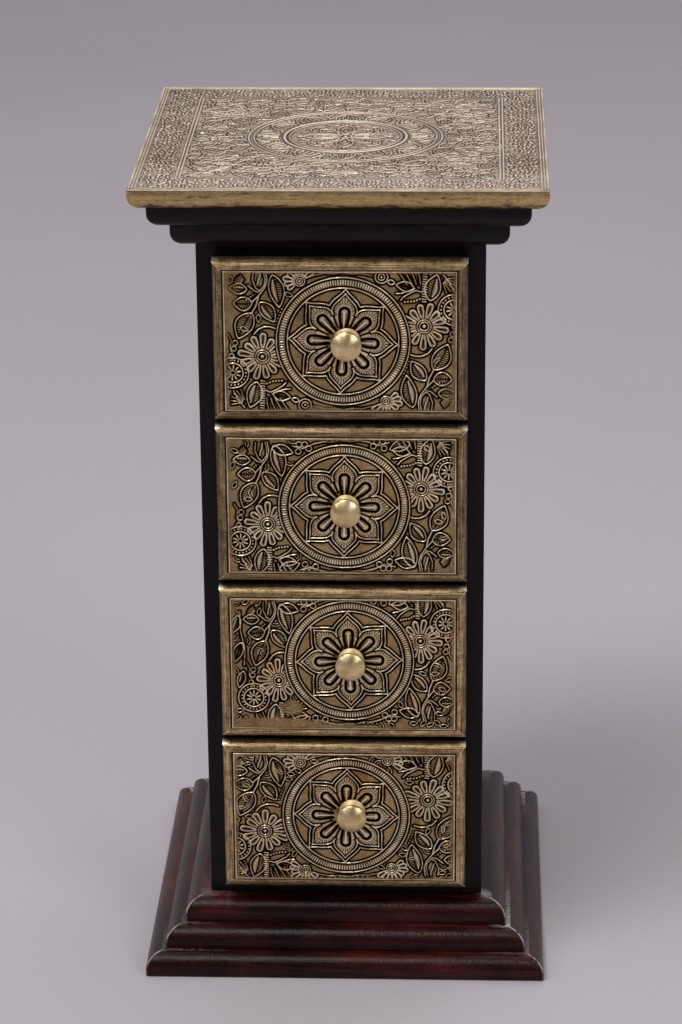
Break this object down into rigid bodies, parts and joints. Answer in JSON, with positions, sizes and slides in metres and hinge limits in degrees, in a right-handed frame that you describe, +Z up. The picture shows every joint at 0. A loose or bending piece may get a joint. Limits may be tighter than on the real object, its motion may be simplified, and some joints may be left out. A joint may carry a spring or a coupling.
{
  "type": "chest of drawers",
  "caption": "Slim free-standing chest with pull-out drawers stacked in a dark square column, a stepped base and cornice, and embossed brass on the drawer fronts and top.",
  "frame": {"origin": "middle of the underside of the base, on the surface that the chest stands on", "axes": "+Z up, -Y out of the drawer fronts, +X to the right as seen from the front"},
  "size_m": [0.2224, 0.2224, 0.4545],
  "materials": {
    "base_wood": "dark red-brown stain under semi-gloss lacquer",
    "column_wood": "near-black stain under satin lacquer",
    "cornice_wood": "near-black stain under satin lacquer",
    "core_wood": "bare wood under the brass",
    "box_wood": "bare pale wood",
    "embossed_brass": "embossed sheet with dark antique patina in its recesses",
    "edge_brass": "plain antiqued strip with stains and scratches",
    "knob_brass": "turned, satin polished",
    "screw_steel": "plain steel"
  },
  "bodies": {
    "carcass": {"base_board_lower": "base_wood", "base_board_middle": "base_wood", "base_board_upper": "base_wood", "side_left": "column_wood", "side_right": "column_wood", "back_panel": "column_wood", "bottom_panel": "column_wood", "top_panel": "column_wood", "divider_1": "column_wood", "divider_2": "column_wood", "divider_3": "column_wood", "cornice_board_lower": "cornice_wood", "cornice_board_upper": "cornice_wood", "top_board": "core_wood", "top_brass_sheet": "embossed_brass", "top_brass_edging": "edge_brass", "base_screw_1": "screw_steel", "top_screw_1": "screw_steel", "base_screw_2": "screw_steel", "top_screw_2": "screw_steel", "base_screw_3": "screw_steel", "top_screw_3": "screw_steel", "base_screw_4": "screw_steel", "top_screw_4": "screw_steel"},
    "drawer1": {"drawer1_front_block": "column_wood", "drawer1_face_sheet": "embossed_brass", "drawer1_edging": "edge_brass", "drawer1_knob": "knob_brass", "drawer1_knob_screw": "screw_steel", "drawer1_side_left": "box_wood", "drawer1_side_right": "box_wood", "drawer1_back": "box_wood", "drawer1_bottom": "box_wood"},
    "drawer2": {"drawer2_front_block": "column_wood", "drawer2_face_sheet": "embossed_brass", "drawer2_edging": "edge_brass", "drawer2_knob": "knob_brass", "drawer2_knob_screw": "screw_steel", "drawer2_side_left": "box_wood", "drawer2_side_right": "box_wood", "drawer2_back": "box_wood", "drawer2_bottom": "box_wood"},
    "drawer3": {"drawer3_front_block": "column_wood", "drawer3_face_sheet": "embossed_brass", "drawer3_edging": "edge_brass", "drawer3_knob": "knob_brass", "drawer3_knob_screw": "screw_steel", "drawer3_side_left": "box_wood", "drawer3_side_right": "box_wood", "drawer3_back": "box_wood", "drawer3_bottom": "box_wood"},
    "drawer4": {"drawer4_front_block": "column_wood", "drawer4_face_sheet": "embossed_brass", "drawer4_edging": "edge_brass", "drawer4_knob": "knob_brass", "drawer4_knob_screw": "screw_steel", "drawer4_side_left": "box_wood", "drawer4_side_right": "box_wood", "drawer4_back": "box_wood", "drawer4_bottom": "box_wood"}
  },
  "joints": [
    {"name": "drawer1_slide", "type": "slide", "parent": "carcass", "child": "drawer1", "axis": [0, -1, 0], "range_m": [0, 0.11]},
    {"name": "drawer2_slide", "type": "slide", "parent": "carcass", "child": "drawer2", "axis": [0, -1, 0], "range_m": [0, 0.11]},
    {"name": "drawer3_slide", "type": "slide", "parent": "carcass", "child": "drawer3", "axis": [0, -1, 0], "range_m": [0, 0.11]},
    {"name": "drawer4_slide", "type": "slide", "parent": "carcass", "child": "drawer4", "axis": [0, -1, 0], "range_m": [0, 0.11]}
  ]
}
